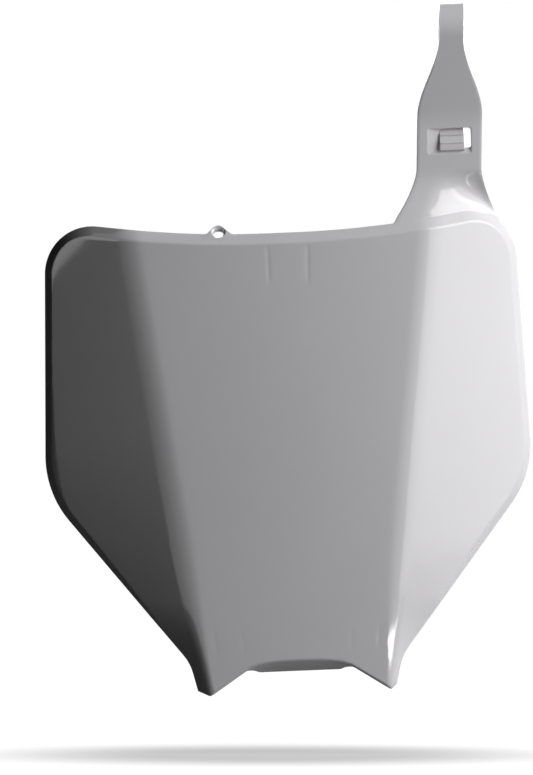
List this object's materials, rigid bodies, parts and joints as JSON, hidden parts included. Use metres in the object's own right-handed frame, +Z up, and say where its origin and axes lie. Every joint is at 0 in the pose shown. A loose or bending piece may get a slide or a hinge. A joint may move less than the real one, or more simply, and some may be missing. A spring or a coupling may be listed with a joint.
{
  "type": "racing number board",
  "caption": "Front number board for an off-road racing motorcycle: creased plastic face with a turned-back rim, a bolt lug and a strap looped back for the handlebar.",
  "frame": {"origin": "middle of the straight bore of the bolt hole in the lug on the top rim", "axes": "+Z up the face of the board, -Y the way the face looks, +X to the right as seen from the front, where the strap is"},
  "size_m": [0.2444, 0.0484, 0.3417],
  "materials": {
    "moulded_plastic": "gloss as moulded, near white"
  },
  "bodies": {
    "root": {"number_board": "moulded_plastic"}
  },
  "joints": []
}
